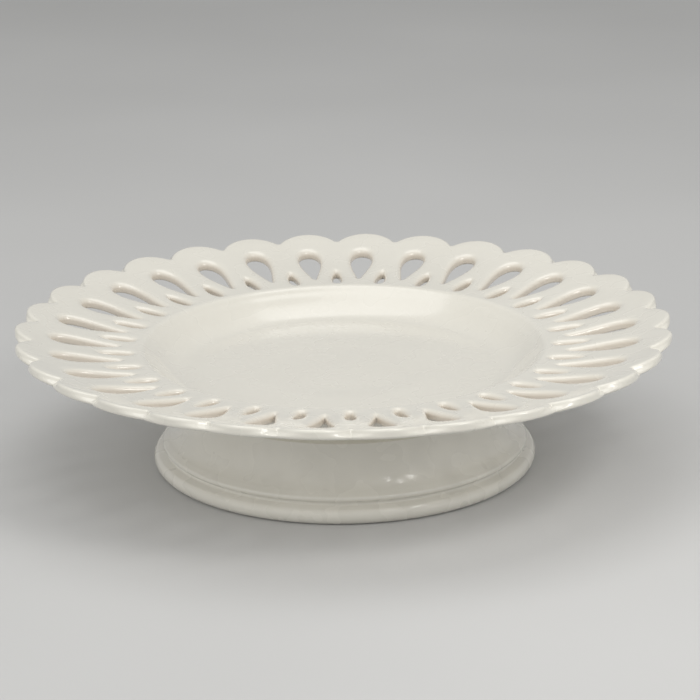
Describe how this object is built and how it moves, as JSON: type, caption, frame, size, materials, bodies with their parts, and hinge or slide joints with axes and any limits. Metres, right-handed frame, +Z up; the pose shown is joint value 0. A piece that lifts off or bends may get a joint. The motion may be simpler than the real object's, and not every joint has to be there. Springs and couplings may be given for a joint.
{
  "type": "cake stand",
  "caption": "Low round footed cake stand in glazed white earthenware, with a dished plate, a pierced scalloped rim and a hollow pedestal foot.",
  "frame": {"origin": "centre of the ring that the foot rests on, at table level", "axes": "+Z up along the stand's axis of symmetry; a scallop tip points along +X and a notch lies on +Y"},
  "size_m": [0.28, 0.2788, 0.0628],
  "materials": {
    "white_glaze": "gloss",
    "pooled_glaze": "gloss"
  },
  "bodies": {
    "root": {"plate_well": "white_glaze", "pierced_rim": "white_glaze", "pedestal_foot": "white_glaze", "luting_ring": "pooled_glaze"}
  },
  "joints": []
}
